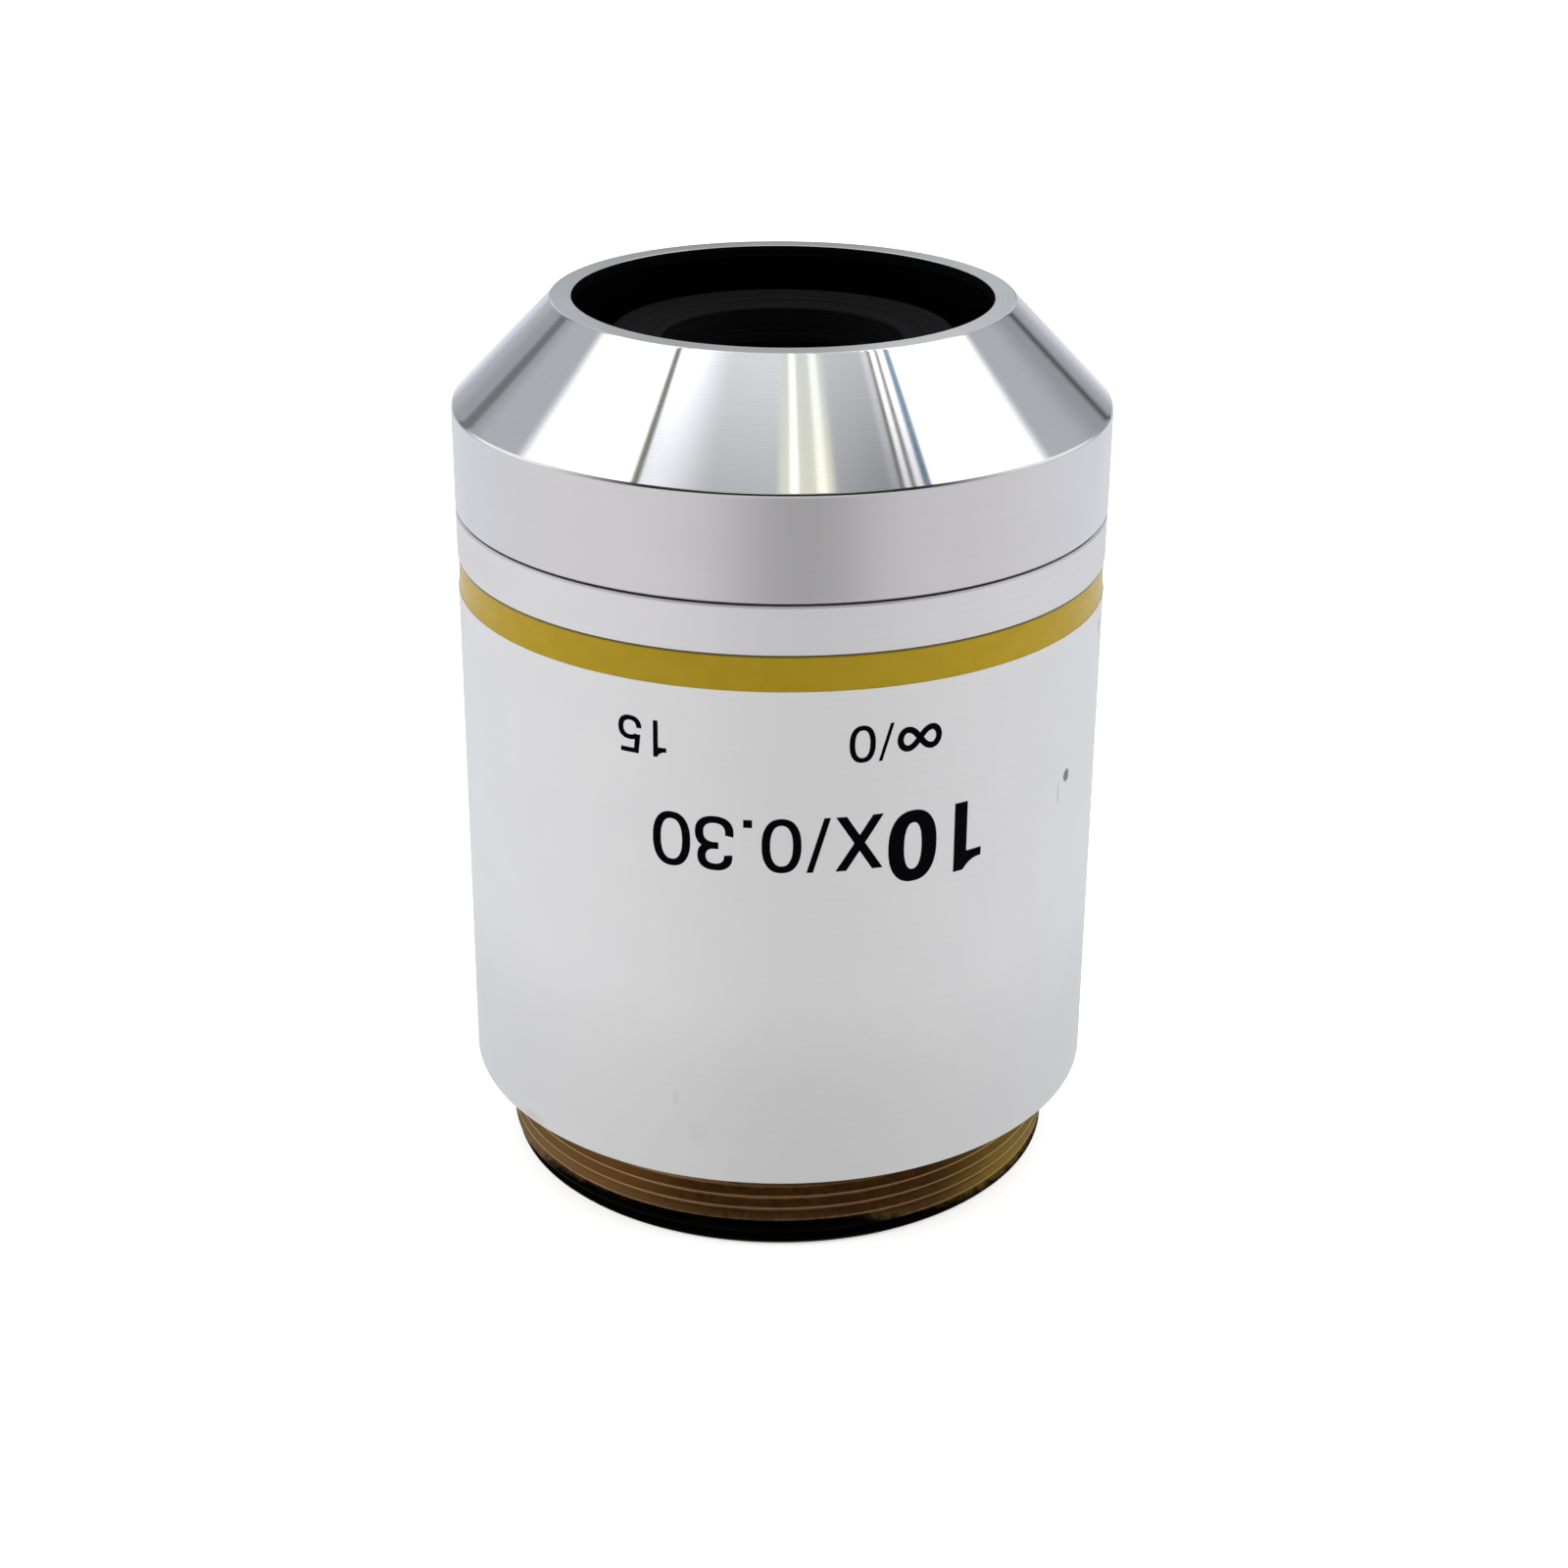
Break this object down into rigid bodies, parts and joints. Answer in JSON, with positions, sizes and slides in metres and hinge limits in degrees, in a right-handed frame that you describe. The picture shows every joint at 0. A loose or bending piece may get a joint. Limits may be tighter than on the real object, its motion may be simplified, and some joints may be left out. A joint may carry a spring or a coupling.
{
  "type": "microscope objective",
  "caption": "Bright-field and dark-field microscope objective: satin metal barrel with a bright cone, a colour band, stacked lens cells, a ring mirror and a rear mounting thread.",
  "frame": {"origin": "centre of the rear end of the mounting thread, on which the part stands", "axes": "+Z along the optical axis towards the specimen; X and Y across, with one spider spoke along +Y"},
  "size_m": [0.0362, 0.0362, 0.0503],
  "materials": {
    "satin_chrome": "satin",
    "bright_cone": "polished",
    "yellow_enamel": "satin",
    "brass": "satin",
    "black_anodised": "matte",
    "black_brass": "matte",
    "mirror_aluminium": "polished",
    "screw_steel": "black oxide",
    "crown_glass": "coated",
    "flint_glass": "coated",
    "black_ink": "matte"
  },
  "bodies": {
    "root": {"nose_cone": "bright_cone", "outer_sleeve": "satin_chrome", "colour_band": "yellow_enamel", "mount_ring": "brass", "spider": "black_anodised", "spider_lock_ring": "black_anodised", "parfocal_shim": "brass", "lens_barrel": "black_brass", "front_cap": "black_anodised", "front_lens": "crown_glass", "front_lens_ring": "black_brass", "second_lens": "crown_glass", "second_lens_cell": "black_brass", "spacer_1": "black_anodised", "fore_doublet_flint": "flint_glass", "fore_doublet_crown": "crown_glass", "fore_doublet_cell": "black_brass", "spacer_2": "black_anodised", "middle_doublet_crown": "crown_glass", "middle_doublet_flint": "flint_glass", "middle_doublet_cell": "black_brass", "centring_screws": "screw_steel", "spacer_3": "black_anodised", "rear_doublet_flint": "flint_glass", "rear_doublet_crown": "crown_glass", "rear_doublet_cell": "black_brass", "rear_stop": "black_brass", "rear_retaining_ring": "black_brass", "dark_field_mirror": "mirror_aluminium"}
  },
  "joints": []
}
